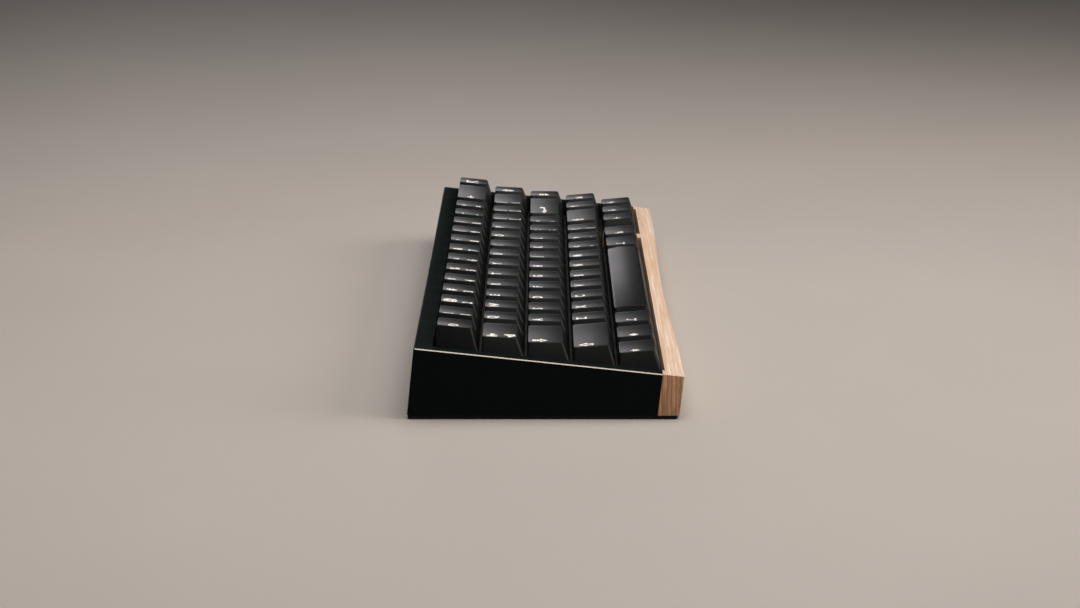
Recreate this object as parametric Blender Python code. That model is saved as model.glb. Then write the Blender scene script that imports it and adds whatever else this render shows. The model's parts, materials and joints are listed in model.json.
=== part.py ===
"""A 67-key mechanical keyboard with a wooden front bar. Metres, +Z up, +X along the keyboard, +Y to its back.

The deck frame is tilted about X: its x runs along the keyboard, its y up the slope towards the back, and its
z square to the keys. Its origin is the middle of the key grid, level with the lower edge of the keycaps.
"""
from math import cos, pi, radians, sin, tan

import bmesh
import bpy
from mathutils import Matrix, Vector

# Driving dimensions
UNIT = 0.01905
ROW_UNITS = 16
ROWS = 5
TILT = radians(6.16)
DECK_HEIGHT = 0.0231
GAP = 0.0003

# Case, in the deck frame
CASE_HALF_LENGTH = 0.1588
CASE_HALF_DEPTH = 0.0558
CASE_TOP = 0.0014
OPENING_HALF_LENGTH = 0.1528
OPENING_BACK = 0.048
OPENING_FRONT = -0.0481
LEDGE = 0.002
LEDGE_TOP = -0.0078
WOOD_JOINT = -0.047
WOOD_DEPTH = 0.0559
SCALLOP = 0.00195
SCALLOP_CENTRE = -0.6 * UNIT
SCALLOP_HALF_SPAN = 7 * UNIT
SCALLOP_CUTS = 24
TONGUE_CENTRE = 4.75 * UNIT
TONGUE_WIDTH = 0.0086
TONGUE_BACK = -1.5 * UNIT - 0.0008

# Base and feet, level with the desk
BASE_BOTTOM = 0.0005
BASE_RIM = 0.0009
BASE_TOP = 0.0025
BASE_INSET = 0.0003
WALL_BOTTOM = BASE_BOTTOM + BASE_RIM + GAP
FOOT_LENGTH = 0.26
FOOT_WIDTH = 0.009
FOOT_HEIGHT = 0.0012
FOOT_PLACES = {"rubber_foot_front": -0.036, "rubber_foot_rear": 0.038}

# Plate, board and switches, in the deck frame
PLATE_TOP = -0.006
PLATE_THICKNESS = 0.0015
PLATE_CLEARANCE = 0.0005
PLATE_HOLE = 0.014
BOARD_TOP = -0.011
BOARD_THICKNESS = 0.0016
BOARD_HALF_LENGTH = 0.1503
BOARD_HALF_DEPTH = 0.0456
HOUSING_BODY = 0.0134
HOUSING_FLANGE = 0.0156
FLANGE_THICKNESS = 0.001
HOUSING_TOP = 0.0006
HOUSING_SHOULDER = (0.0142, 0.0134)
HOUSING_CROWN = (0.009, 0.0082)
SLIDER = (0.0062, 0.0048)
SLIDER_CLEARANCE = 0.0004
SLIDER_BOTTOM = -0.0055
SLOT_BOTTOM = -0.0102
STABILISER_BODY = (0.006, 0.011)
STABILISER_HOLE = (0.0067, 0.0117)
STABILISER_TOP = -0.0012
STABILISER_STEM = (0.0028, 0.0048)
STABILISER_OFFSETS = {2: 0.0119, 2.25: 0.0119, 6.25: 0.05}

# USB socket under the board, and the opening in the back wall for its plug
SOCKET_X = -0.1143
SOCKET_SIZE = (0.0094, 0.0078, 0.0034)
SOCKET_BACK = 0.0457
PLUG_OPENING = (0.0132, 0.0076)

# Keycaps: top height, the fall of the top from its front to its back edge, and the top's depth
CAP_BASE = UNIT - 0.00089
CAP_TOP = (0.01185, 0.0144)
CAP_SKEW = 0.002
CAP_WALL = 0.0012
CAP_CORNER = 0.001
CAP_CEILING = 0.0016
LINK = (0.0022, 0.007, 0.0012)
ROW_HEIGHTS = (0.0098, 0.0072, 0.007, 0.0074, 0.0072)
ROW_TILTS = tuple(radians(angle) for angle in (0.2, 3.0, 5.4, 10.8, 11.3))

# Rows from the back, each key with its width in units; a name repeated in one row joins those keys
ROW_KEYS = (
    [("key_escape", 1)] + [("number_keys", 1)] * 12 + [("key_backspace", 2), ("navigation_keys", 1)],
    [("key_tab", 1.5)] + [("key_" + letter, 1) for letter in "qwertyuiop"]
    + [("key_left_bracket", 1), ("key_right_bracket", 1), ("key_backslash", 1.5), ("navigation_keys", 1)],
    [("key_caps_lock", 1.75)] + [("key_" + letter, 1) for letter in "asdfghjkl"]
    + [("key_semicolon", 1), ("key_quote", 1), ("key_enter", 2.25), ("navigation_keys", 1)],
    [("key_left_shift", 2.25)] + [("key_" + letter, 1) for letter in "zxcvbnm"]
    + [("key_comma", 1), ("key_period", 1), ("key_slash", 1), ("key_right_shift", 1.75)]
    + [("key_up", 1), ("navigation_keys", 1)],
    [("key_left_control", 1.25), ("key_left_super", 1.25), ("key_left_alt", 1.25)]
    + [("key_space", 6.25), ("key_right_alt", 1.25), ("key_function", 1.25), (None, 0.5)]
    + [("key_left", 1), ("key_down", 1), ("key_right", 1)],
)

BLACK_METAL = ("black_metal", (0.012, 0.013, 0.013), 0.42, 0.6)
BASE_METAL = ("base_metal", (0.01, 0.01, 0.011), 0.5, 0.6)
PALE_WOOD = ("pale_wood", (0.6, 0.42, 0.3), 0.5, 0.0)
PLATE_METAL = ("plate_metal", (0.03, 0.03, 0.032), 0.45, 0.8)
BOARD_LACQUER = ("board_lacquer", (0.008, 0.02, 0.014), 0.4, 0.0)
CAP_PLASTIC = ("cap_plastic", (0.075, 0.068, 0.074), 0.55, 0.0)
FOOT_RUBBER = ("foot_rubber", (0.015, 0.015, 0.015), 0.8, 0.0)


def clear_scene():
    for thing in list(bpy.data.objects):
        bpy.data.objects.remove(thing, do_unlink=True)


def new_collection(name):
    collection = bpy.data.collections.new(name)
    bpy.context.scene.collection.children.link(collection)
    return collection


def material(name, colour, roughness, metallic):
    made = bpy.data.materials.get(name) or bpy.data.materials.new(name)
    made.use_nodes = True
    shader = made.node_tree.nodes["Principled BSDF"]
    shader.inputs["Base Color"].default_value = (*colour, 1)
    shader.inputs["Roughness"].default_value = roughness
    shader.inputs["Metallic"].default_value = metallic
    return made


def mesh_from(bm, name):
    bmesh.ops.recalc_face_normals(bm, faces=bm.faces)
    mesh = bpy.data.meshes.new(name)
    bm.to_mesh(mesh)
    bm.free()
    return mesh


def add_object(name, mesh, collection, parent=None, place=(0, 0, 0), finish=None):
    made = bpy.data.objects.new(name, mesh)
    collection.objects.link(made)
    made.parent = parent
    made.location = place
    if finish and not mesh.materials:
        mesh.materials.append(material(*finish))
    return made


def cutter(name, mesh, parent=None, place=(0, 0, 0)):
    made = add_object(name, mesh, cutters, parent, place)
    made.hide_render = True
    made.display_type = "WIRE"
    return made


def combine(body, other, operation):
    step = body.modifiers.new(other.name, "BOOLEAN")
    step.operation = operation
    step.solver = "EXACT"
    step.object = other


def applied_mesh(thing):
    """The mesh with its modifiers applied."""
    bpy.context.view_layer.update()
    seen = thing.evaluated_get(bpy.context.evaluated_depsgraph_get())
    return bpy.data.meshes.new_from_object(seen)


def add_box(bm, low, high):
    """A box between two corners."""
    low, high = Vector(low), Vector(high)
    place = Matrix.Translation((low + high) / 2) @ Matrix.Diagonal((*(high - low), 1))
    return bmesh.ops.create_cube(bm, size=1, matrix=place)["verts"]


def box_mesh(name, *boxes):
    bm = bmesh.new()
    for low, high in boxes:
        add_box(bm, low, high)
    return mesh_from(bm, name)


def grow(bm, verts, steps):
    """Extrudes a box's top face through steps of (height, width, depth), each a new cross-section."""
    face = max({face for vert in verts for face in vert.link_faces}, key=lambda side: side.calc_center_median().z)
    for height, width, depth in steps:
        middle = face.calc_center_median()
        xs = [vert.co.x for vert in face.verts]
        ys = [vert.co.y for vert in face.verts]
        scale = Vector((width / (max(xs) - min(xs)), depth / (max(ys) - min(ys)), 1))
        face = bmesh.ops.extrude_discrete_faces(bm, faces=[face])["faces"][0]
        for vert in face.verts:
            vert.co = middle + (vert.co - middle) * scale
            vert.co.z = height


def cap_heights(row):
    """The heights of a keycap's top at its front and back edges."""
    rise = CAP_TOP[1] / 2 * tan(ROW_TILTS[row])
    return ROW_HEIGHTS[row] + rise, ROW_HEIGHTS[row] - rise


def cap_solid(name, width, row, wall, thickness, corner):
    """A keycap's outer form, or with a wall and a thickness the hollow inside it."""
    base = (CAP_BASE + (width - 1) * UNIT - 2 * wall, CAP_BASE - 2 * wall)
    top = (CAP_TOP[0] + (width - 1) * UNIT - 2 * wall, CAP_TOP[1] - 2 * wall)
    bottom = -0.001 if thickness else 0
    bm = bmesh.new()
    add_box(bm, (-base[0] / 2, -base[1] / 2, bottom), (base[0] / 2, base[1] / 2, 1))
    front, back = cap_heights(row)
    for vert in bm.verts:
        if vert.co.z > bottom + GAP:
            vert.co.z = (front if vert.co.y < 0 else back) - thickness
            vert.co.x *= top[0] / base[0]
            vert.co.y = vert.co.y * top[1] / base[1] + CAP_SKEW
    if corner:
        uprights = [edge for edge in bm.edges if edge.verts[0].co.z * edge.verts[1].co.z < GAP ** 2
                    and max(vert.co.z for vert in edge.verts) > bottom + GAP]
        bmesh.ops.bevel(bm, geom=uprights, offset=corner, segments=1, affect="EDGES")
    return mesh_from(bm, name)


def stem_places(width):
    """How far each stem under a keycap stands from its middle, with its size."""
    side = STABILISER_OFFSETS.get(width)
    stems = [(0, SLIDER)]
    if side:
        stems += [(-side, STABILISER_STEM), (side, STABILISER_STEM)]
    return stems


def keycap_mesh(width, row):
    """One hollow keycap on its stem, whose foot stands inside the switch."""
    name = f"cap_{row + 1}_{width}"
    if name in cap_meshes:
        return cap_meshes[name]
    cap = cutter(name, cap_solid(name, width, row, 0, 0, CAP_CORNER))
    hollow = cutter(name + "_hollow", cap_solid(name + "_hollow", width, row, CAP_WALL, CAP_CEILING, 0))
    combine(cap, hollow, "DIFFERENCE")
    stem_top = ROW_HEIGHTS[row] - CAP_CEILING / 3
    boxes = []
    for x, size in stem_places(width):
        boxes.append(((x - size[0] / 2, -size[1] / 2, SLIDER_BOTTOM), (x + size[0] / 2, size[1] / 2, stem_top)))
    combine(cap, cutter(name + "_stems", box_mesh(name + "_stems", *boxes)), "UNION")
    cap_meshes[name] = applied_mesh(cap)
    return cap_meshes[name]


def key_places():
    """Each key's name, width in units, row from the back, and place on the deck."""
    for row, keys in enumerate(ROW_KEYS):
        x = -ROW_UNITS / 2
        for name, width in keys:
            if name:
                yield name, width, row, Vector(((x + width / 2) * UNIT, ((ROWS - 1) / 2 - row) * UNIT, 0))
            x += width


def make_keys(deck):
    """A key alone is one object; keys that share a name are joined by links hidden between their skirts."""
    groups = {}
    for name, width, row, place in key_places():
        groups.setdefault(name, []).append((width, row, place))
    for name, keys in groups.items():
        width, row, place = keys[0]
        if len(keys) == 1:
            add_object(name, keycap_mesh(width, row), parts, deck, place, CAP_PLASTIC)
            continue
        first = cutter(name + "_first", keycap_mesh(width, row))
        links = []
        for width, row, next_place in keys[1:]:
            offset = next_place - place
            middle = offset - offset.normalized() * UNIT / 2
            size = LINK if abs(offset.x) > abs(offset.y) else (LINK[1], LINK[0], LINK[2])
            links.append(((middle.x - size[0] / 2, middle.y - size[1] / 2, 0),
                          (middle.x + size[0] / 2, middle.y + size[1] / 2, LINK[2])))
            combine(first, cutter(f"{name}_{len(links)}", keycap_mesh(width, row), None, offset), "UNION")
        combine(first, cutter(name + "_links", box_mesh(name + "_links", *links)), "UNION")
        add_object(name, applied_mesh(first), parts, deck, place, CAP_PLASTIC)


def desk_cutter(name, top):
    """A level block that removes all below a height over the desk."""
    return cutter(name, box_mesh(name, ((-0.2, -0.1, -0.06), (0.2, 0.1, top))))


def scallop(x):
    """How far the front face is drawn in, a long shallow hollow."""
    reach = (x - SCALLOP_CENTRE) / SCALLOP_HALF_SPAN
    return SCALLOP * (1 + cos(pi * reach)) / 2 if abs(reach) < 1 else 0


def front_bar(name, low, high):
    """A bar along the keyboard whose front face, at low y, is hollowed by the scallop."""
    bm = bmesh.new()
    add_box(bm, low, high)
    for step in range(1, SCALLOP_CUTS):
        x = SCALLOP_CENTRE + SCALLOP_HALF_SPAN * (2 * step / SCALLOP_CUTS - 1)
        everything = bm.verts[:] + bm.edges[:] + bm.faces[:]
        bmesh.ops.bisect_plane(bm, geom=everything, plane_co=(x, 0, 0), plane_no=(1, 0, 0))
    for vert in bm.verts:
        if vert.co.y < low[1] + GAP:
            vert.co.y += scallop(vert.co.x)
    return mesh_from(bm, name)


def make_case(deck):
    """Left, right and back walls with an inner ledge for the plate, open in front and below."""
    far, deep = 0.2, -0.05
    mesh = box_mesh("case_body", ((-CASE_HALF_LENGTH, WOOD_JOINT + GAP, deep),
                                  (CASE_HALF_LENGTH, CASE_HALF_DEPTH, CASE_TOP)))
    case = add_object("case_body", mesh, parts, deck, finish=BLACK_METAL)
    well = box_mesh("key_well", ((-OPENING_HALF_LENGTH, -far, LEDGE_TOP), (OPENING_HALF_LENGTH, OPENING_BACK, far)))
    inner = OPENING_HALF_LENGTH - LEDGE
    hall = box_mesh("board_hall", ((-inner, -far, -far), (inner, OPENING_BACK - LEDGE, LEDGE_TOP + GAP)))
    combine(case, cutter("key_well", well, deck), "DIFFERENCE")
    combine(case, cutter("board_hall", hall, deck), "DIFFERENCE")
    combine(case, desk_cutter("case_floor", WALL_BOTTOM), "DIFFERENCE")
    half = PLUG_OPENING[0] / 2
    middle = BOARD_TOP - BOARD_THICKNESS - SOCKET_SIZE[2] / 2
    plug = box_mesh("plug_opening", ((SOCKET_X - half, 0, middle - PLUG_OPENING[1] / 2),
                                     (SOCKET_X + half, 0.1, middle + PLUG_OPENING[1] / 2)))
    combine(case, cutter("plug_opening", plug, deck), "DIFFERENCE")


def make_wood(deck):
    """The front wall: a scalloped bar with corner posts, a ledge for the plate, and the tongue."""
    far, deep = 0.2, -0.05
    inner = OPENING_HALF_LENGTH - LEDGE - GAP
    bar = front_bar("wood_front", (-CASE_HALF_LENGTH, -WOOD_DEPTH, deep), (CASE_HALF_LENGTH, WOOD_JOINT, CASE_TOP))
    wood = add_object("wood_front", bar, parts, deck, finish=PALE_WOOD)
    well = box_mesh("wood_well", ((-OPENING_HALF_LENGTH, OPENING_FRONT, LEDGE_TOP), (OPENING_HALF_LENGTH, far, far)))
    combine(wood, cutter("wood_well", well, deck), "DIFFERENCE")
    ledge = box_mesh("wood_ledge", ((-inner, OPENING_FRONT - LEDGE, deep), (inner, OPENING_FRONT + LEDGE, LEDGE_TOP)))
    combine(wood, cutter("wood_ledge", ledge, deck), "UNION")
    tongue = box_mesh("wood_tongue", ((TONGUE_CENTRE - TONGUE_WIDTH / 2, OPENING_FRONT - LEDGE, PLATE_TOP + GAP),
                                      (TONGUE_CENTRE + TONGUE_WIDTH / 2, TONGUE_BACK, CASE_TOP)))
    combine(wood, cutter("wood_tongue", tongue, deck), "UNION")
    combine(wood, desk_cutter("wood_floor", WALL_BOTTOM), "DIFFERENCE")


def make_plate(deck):
    """The switch plate, with a square hole for each switch and one for each stabiliser."""
    half = (OPENING_HALF_LENGTH - PLATE_CLEARANCE, OPENING_BACK - PLATE_CLEARANCE)
    mesh = box_mesh("switch_plate", ((-half[0], OPENING_FRONT + PLATE_CLEARANCE, PLATE_TOP - PLATE_THICKNESS),
                                     (half[0], half[1], PLATE_TOP)))
    plate = add_object("switch_plate", mesh, parts, deck, finish=PLATE_METAL)
    holes = []
    for name, width, row, place in key_places():
        for x, size in stem_places(width):
            hole = STABILISER_HOLE if x else (PLATE_HOLE, PLATE_HOLE)
            spread = Vector((hole[0] / 2, hole[1] / 2, PLATE_THICKNESS))
            middle = place + Vector((x, 0, PLATE_TOP - PLATE_THICKNESS / 2))
            holes.append((middle - spread, middle + spread))
    combine(plate, cutter("switch_holes", box_mesh("switch_holes", *holes), deck), "DIFFERENCE")


def add_housing(bm, place, x, size):
    """A switch's housing or a stabiliser's, with the slot that its stem slides in."""
    body = STABILISER_BODY if x else (HOUSING_BODY, HOUSING_BODY)
    slot = (size[0] + 2 * SLIDER_CLEARANCE, size[1] + 2 * SLIDER_CLEARANCE)
    shoulder = PLATE_TOP + GAP
    sunk = BOARD_TOP - BOARD_THICKNESS / 2
    verts = add_box(bm, (-body[0] / 2, -body[1] / 2, sunk), (body[0] / 2, body[1] / 2, shoulder))
    if x:
        steps = [(STABILISER_TOP, *body), (STABILISER_TOP, *slot), (SLOT_BOTTOM, *slot)]
    else:
        flange = (HOUSING_FLANGE, HOUSING_FLANGE)
        rim = shoulder + FLANGE_THICKNESS
        steps = [(shoulder, *flange), (rim, *flange), (rim, *HOUSING_SHOULDER), (HOUSING_TOP, *HOUSING_CROWN)]
        steps += [(HOUSING_TOP, *slot), (SLOT_BOTTOM, *slot)]
    before = set(bm.verts) - set(verts)
    grow(bm, verts, steps)
    for vert in set(bm.verts) - before:
        vert.co += Vector((place.x + x, place.y, 0))


def make_board(deck):
    """The circuit board with all that is soldered to it: housings on top, the USB socket below."""
    board_bottom = BOARD_TOP - BOARD_THICKNESS
    mesh = box_mesh("circuit_board", ((-BOARD_HALF_LENGTH, -BOARD_HALF_DEPTH, board_bottom),
                                      (BOARD_HALF_LENGTH, BOARD_HALF_DEPTH, BOARD_TOP)))
    board = add_object("circuit_board", mesh, parts, deck, finish=BOARD_LACQUER)
    bm = bmesh.new()
    for name, width, row, place in key_places():
        for x, size in stem_places(width):
            add_housing(bm, place, x, size)
    combine(board, cutter("housings", mesh_from(bm, "housings"), deck), "UNION")
    half = SOCKET_SIZE[0] / 2
    wall = 0.0005
    mouth = SOCKET_BACK - 0.0065
    shell = box_mesh("usb_socket", ((SOCKET_X - half, SOCKET_BACK - SOCKET_SIZE[1], board_bottom - SOCKET_SIZE[2]),
                                    (SOCKET_X + half, SOCKET_BACK, board_bottom + BOARD_THICKNESS / 2)))
    inside = box_mesh("usb_mouth", ((SOCKET_X - half + wall, mouth, board_bottom - SOCKET_SIZE[2] + wall),
                                    (SOCKET_X + half - wall, SOCKET_BACK + wall, board_bottom - wall)))
    combine(board, cutter("usb_socket", shell, deck), "UNION")
    combine(board, cutter("usb_mouth", inside, deck), "DIFFERENCE")


def make_base_and_feet():
    """The bottom plate: a thin rim under the walls, a thicker middle between them, two slots with rubber feet."""
    front = deck_point(-WOOD_DEPTH + BASE_INSET, BASE_BOTTOM)
    back = deck_point(CASE_HALF_DEPTH - BASE_INSET, BASE_BOTTOM)
    rim = front_bar("bottom_plate", (-CASE_HALF_LENGTH + BASE_INSET, front, BASE_BOTTOM),
                    (CASE_HALF_LENGTH - BASE_INSET, back, BASE_BOTTOM + BASE_RIM))
    base = add_object("bottom_plate", rim, parts, finish=BASE_METAL)
    inner = OPENING_HALF_LENGTH - LEDGE - GAP
    panel = box_mesh("base_panel", ((-inner, deck_point(OPENING_FRONT + LEDGE + GAP, WALL_BOTTOM), BASE_BOTTOM),
                                    (inner, deck_point(OPENING_BACK - LEDGE - GAP, BASE_TOP), BASE_TOP)))
    combine(base, cutter("base_panel", panel), "UNION")
    slots = []
    for name, y in FOOT_PLACES.items():
        low = Vector((-FOOT_LENGTH / 2, y - FOOT_WIDTH / 2, 0))
        high = Vector((FOOT_LENGTH / 2, y + FOOT_WIDTH / 2, FOOT_HEIGHT))
        add_object(name, box_mesh(name, (low, high)), parts, finish=FOOT_RUBBER)
        room = Vector((GAP, GAP, GAP))
        slots.append((low - room, high + room))
    combine(base, cutter("foot_slots", box_mesh("foot_slots", *slots)), "DIFFERENCE")


def deck_point(along, height):
    """Where a line square to the deck, that far up its slope, is at a height over the desk."""
    rise = (height - DECK_HEIGHT - along * sin(TILT)) / cos(TILT)
    return deck_y + along * cos(TILT) - rise * sin(TILT)


def centred_deck_y():
    """The deck's place along Y that centres the footprint on the origin."""
    front = -WOOD_DEPTH * cos(TILT) - CASE_TOP * sin(TILT)
    rise = (WALL_BOTTOM - DECK_HEIGHT - CASE_HALF_DEPTH * sin(TILT)) / cos(TILT)
    back = CASE_HALF_DEPTH * cos(TILT) - rise * sin(TILT)
    return -(front + back) / 2


clear_scene()
parts = new_collection("mechanical_keyboard")
cutters = new_collection("cutters")
cap_meshes = {}
deck_y = centred_deck_y()

deck_frame = bpy.data.objects.new("deck", None)
parts.objects.link(deck_frame)
deck_frame.location = (0, deck_y, DECK_HEIGHT)
deck_frame.rotation_euler = (TILT, 0, 0)

make_case(deck_frame)
make_wood(deck_frame)
make_plate(deck_frame)
make_board(deck_frame)
make_base_and_feet()
make_keys(deck_frame)
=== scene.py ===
"""The looks of a 67-key keyboard with a wooden front: caps and legends, switches, case, wood, board, base, feet.

Pieces are shaped level, in the deck's own frame, and then laid on the deck's slope. Metres throughout.
"""
import json
from contextlib import contextmanager
from math import atan2, cos, pi, radians, sin, tan

import bmesh
import bpy
from mathutils import Matrix, Vector


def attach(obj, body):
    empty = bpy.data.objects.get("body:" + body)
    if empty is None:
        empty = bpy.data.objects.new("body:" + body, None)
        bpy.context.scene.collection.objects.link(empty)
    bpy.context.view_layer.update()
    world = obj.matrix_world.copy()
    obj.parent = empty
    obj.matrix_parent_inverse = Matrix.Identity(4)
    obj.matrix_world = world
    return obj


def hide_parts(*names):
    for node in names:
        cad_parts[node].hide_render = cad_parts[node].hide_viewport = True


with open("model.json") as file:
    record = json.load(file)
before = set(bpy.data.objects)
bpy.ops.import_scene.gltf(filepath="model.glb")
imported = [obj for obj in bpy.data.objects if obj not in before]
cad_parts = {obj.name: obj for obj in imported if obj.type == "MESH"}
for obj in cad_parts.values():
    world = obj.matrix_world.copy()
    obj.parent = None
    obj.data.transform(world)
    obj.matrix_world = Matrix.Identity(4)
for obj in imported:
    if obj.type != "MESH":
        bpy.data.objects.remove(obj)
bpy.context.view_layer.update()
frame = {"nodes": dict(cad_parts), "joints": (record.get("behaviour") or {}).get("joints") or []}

# The deck: the plane that the keys stand on, tilted about X
UNIT = 0.01905
GRID_UNITS = 16
GRID_ROWS = 5
PRESS = Vector(frame["joints"][0]["axis"])
TILT = atan2(PRESS.y, -PRESS.z)
DECK_PLACE = (0, -0.001353, 0.0231)
DECK = Matrix.Translation(DECK_PLACE) @ Matrix.Rotation(TILT, 4, "X")

# The gap between parts that touch, the play between parts that slip together, and how far a tool reaches
SEAM = 0.00008
PLAY = 0.0003
BEYOND = 0.2

# Camera
CAMERA_PLACE = (-1.0731, 0.0022, 0.2924)
CAMERA_DIP = radians(14.89)
CAMERA_LENS = 77.57

# Case and wood
CASE_HALF_LENGTH = 0.1588
CASE_BACK = 0.0558
CASE_TOP = 0.0014
DEEP = -0.05
OPENING_HALF_LENGTH = 0.1528
OPENING_BACK = 0.048
OPENING_FRONT = -0.0481
LEDGE = 0.002
LEDGE_TOP = -0.0078
CASE_CORNER = 0.0009
CHAMFER = 0.00036
WELL_ROUND = 0.0003
WOOD_JOINT = -0.047
WOOD_FRONT = -0.0559
WOOD_ROUND = 0.0003
SCALLOP = 0.00195
SCALLOP_CENTRE = -0.6 * UNIT
SCALLOP_HALF_SPAN = 7 * UNIT
SCALLOP_CUTS = 40
TONGUE_CENTRE = 4.75 * UNIT
TONGUE_WIDTH = 0.0086
TONGUE_BACK = -1.5 * UNIT - 0.0008
WALL_BOTTOM = 0.00172

# Base and feet
BASE_BOTTOM = 0.0005
BASE_RIM_TOP = 0.0016
BASE_TOP = 0.0025
BASE_INSET = 0.0004
FOOT_SIZE = (0.26, 0.009, 0.0012)
FOOT_PLACES = (-0.036, 0.038)
FOOT_END = 0.42
FOOT_ROUND = 0.0003
SCREW_HEAD = 0.0022
SCREW_SHANK = 0.0012
SCREW_HEX = 0.0009
SCREW_PLACES = [(x, y) for x in (-0.145, -0.05, 0.05, 0.145) for y in (-0.022, 0.024)]

# Plate, board and switches; a pair is a length along the keyboard and a depth
PLATE_TOP = -0.006
BOARD_TOP = -0.011
BOARD_BOTTOM = -0.0126
BOARD_SIZE = (0.3006, 0.0912)
BOARD_CORNER = 0.002
CHIP_SIZE = (0.007, 0.007)
CHIP_PLACE = (-0.0785, 0.0295)
CHIP_HEIGHT = 0.0011
DIODE_SIZE = (0.0026, 0.0014)
DIODE_PLACE = Vector((0.0042, -0.0078, 0))
DIODE_HEIGHT = 0.001
HOUSING_BODY = (0.0134, 0.0134)
HOUSING_FLANGE = (0.0156, 0.0156)
HOUSING_TUB = (0.0104, 0.0092)
LID_FOOT = -0.0047
LID_SHOULDER = (0.0142, 0.0134)
LID_CROWN = (0.009, 0.0082)
LID_TOP = 0.0006
LAMP_WINDOW = (0.0044, 0.0022)
LAMP_PLACE = (0, -0.0057)
CLIP = (0.0014, 0.0024)
CLIP_PLACE = (0.0062, 0.0058)
CLIP_HEIGHT = 0.0016
SLIDER = (0.0062, 0.0048)
SLIDER_BOTTOM = -0.0055
SLIDER_BORE = (0.0034, 0.0034)
SLIDER_BORE_TOP = -0.002
SLOT = (0.007, 0.0057)
SLOT_BOTTOM = -0.0102
CROSS_FOOT = -0.001
STEM_CROSS = ((0.004, 0.0013), (0.0011, 0.004))
STEM_TOP = 0.0041
SPACE_WIDTH = 6.25
STABILISER_OFFSETS = {2: 0.0119, 2.25: 0.0119, SPACE_WIDTH: 0.05}
STABILISER_BODY = (0.0073, 0.011)
STABILISER_TOP = -0.0012
STABILISER_SLOT = (0.0058, 0.0066)
WIRE_WAY = (0.0044, 0.0034)
WIRE_WAY_PLACE = (0, -0.0045)
WIRE_WAY_TOP = -0.0085
WIRE_RADIUS = 0.0008
WIRE_BEND = 0.0015
WIRE_BEND_STEPS = 6
WIRE_TIP = 0.0005
WIRE_BAR = -0.0048
WIRE_LEVEL = -0.0096
SOCKET_X = -0.1143
SOCKET_SIZE = (0.0094, 0.0078, 0.0034)
SOCKET_BACK = 0.0457
SOCKET_ROUND = 0.0015
SOCKET_WALL = 0.0003
SOCKET_DEPTH = 0.0062
SOCKET_TONGUE = (0.0062, 0.006, 0.0007)
PLUG_OPENING = (0.0132, 0.0076)
PLUG_ROUND = 0.0022

# Keycaps, in rows from the back
CAP_BASE = UNIT - 0.00089
CAP_TOP = (0.01185, 0.0144)
CAP_SKEW = 0.002
CAP_WALL = 0.0012
CAP_CEILING = 0.0016
CAP_CORNER = 0.0012
CAP_RIM = 0.00025
RIM_ZONE = 1.2 * CAP_RIM
CAP_DISH = 0.00042
SPACE_CROWN = 0.0007
SPACE_SLICES = 12
POST_RADIUS = 0.0027
POST_FOOT = 0.0005
POST_CROSS = ((0.0041, 0.00135), (0.0012, 0.0041))
POST_CROSS_TOP = 0.0042
ROW_HEIGHTS = (0.0098, 0.0072, 0.007, 0.0074, 0.0072)
ROW_TILTS = tuple(radians(angle) for angle in (0.2, 3.0, 5.4, 10.8, 11.3))
LETTER = 0.006
ICON = 0.0042
LEGEND_WEIGHT = 0.00018
LEGEND_MARGIN = 0.0008
LEGEND_RISE = 0.00003
LEGEND_SINK = 0.00012
LEGEND_SLICE = 0.001
LEGEND_PLACES = {"back": 0.0033, "upper": 0.0023, "middle": 0.0005, "front": -0.004}


def back_left(text):
    return (text, "back", None)


def front_left(text):
    return (text, "front", None)


def icon(text, spot="middle", along=ICON, across=None):
    """A symbol with its length along the keyboard and its length across it."""
    return (text, spot, (along, across or along))


def letters(text):
    return [(letter.lower(), 1, [back_left(letter)]) for letter in text]


def doubles(named):
    """Keys with two legends: a name, the mark behind and the mark in front."""
    return [(name, 1, [back_left(behind), front_left(ahead)]) for name, behind, ahead in named]


DIGITS = [("digit_" + digit, mark, digit) for digit, mark in zip("1234567890", "!@#$%^&*()")]
KEY_ROWS = (
    [("escape", 1, [icon("⎋")])]
    + doubles(DIGITS + [("minus", "_", "-"), ("equals", "+", "=")])
    + [("backspace", 2, [icon("←", along=0.0063, across=0.0036)]), ("home", 1, [icon("⇱", along=0.0066)])],
    [("tab", 1.5, [icon("⇤", "back", 0.0052), icon("⇥", "front", 0.0052)])]
    + letters("QWERTYUIOP")
    + doubles([("left_bracket", "{", "["), ("right_bracket", "}", "]")])
    + [("backslash", 1.5, [back_left("|"), front_left("\\")]), ("page_up", 1, [icon("⇞", along=0.0062)])],
    [("caps_lock", 1.75, [icon("⇪", "upper", 0.0054, 0.0064)])]
    + letters("ASDFGHJKL")
    + doubles([("semicolon", ":", ";"), ("quote", '"', "'")])
    + [("enter", 2.25, [icon("↵", along=0.0155, across=0.0036)]), ("page_down", 1, [icon("⇟", along=0.0062)])],
    [("left_shift", 2.25, [icon("⇧", "upper", 0.0054, 0.0064)])]
    + letters("ZXCVBNM")
    + doubles([("comma", "<", ","), ("period", ">", "."), ("slash", "?", "/")])
    + [("right_shift", 1.75, [icon("⇧", "upper", 0.0054, 0.0064)]), ("up", 1, [icon("↑", "back", 0.0046)])]
    + [("end", 1, [icon("⇲", along=0.0056, across=0.0036)])],
    [("left_control", 1.25, [icon("⎈")]), ("left_super", 1.25, [icon("❖")])]
    + [("left_alt", 1.25, [icon("⎇")]), ("space", 6.25, []), ("right_alt", 1.25, [icon("⎇")])]
    + [("function", 1.25, [icon("fn")]), (None, 0.5, [])]
    + [("left", 1, [icon("←")]), ("down", 1, [icon("↓", "upper")]), ("right", 1, [icon("→", "upper")])],
)
NAVIGATION = ("home", "page_up", "page_down", "end")
NUMBER_ROW = tuple(name for name, behind, ahead in DIGITS) + ("minus", "equals")


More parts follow.
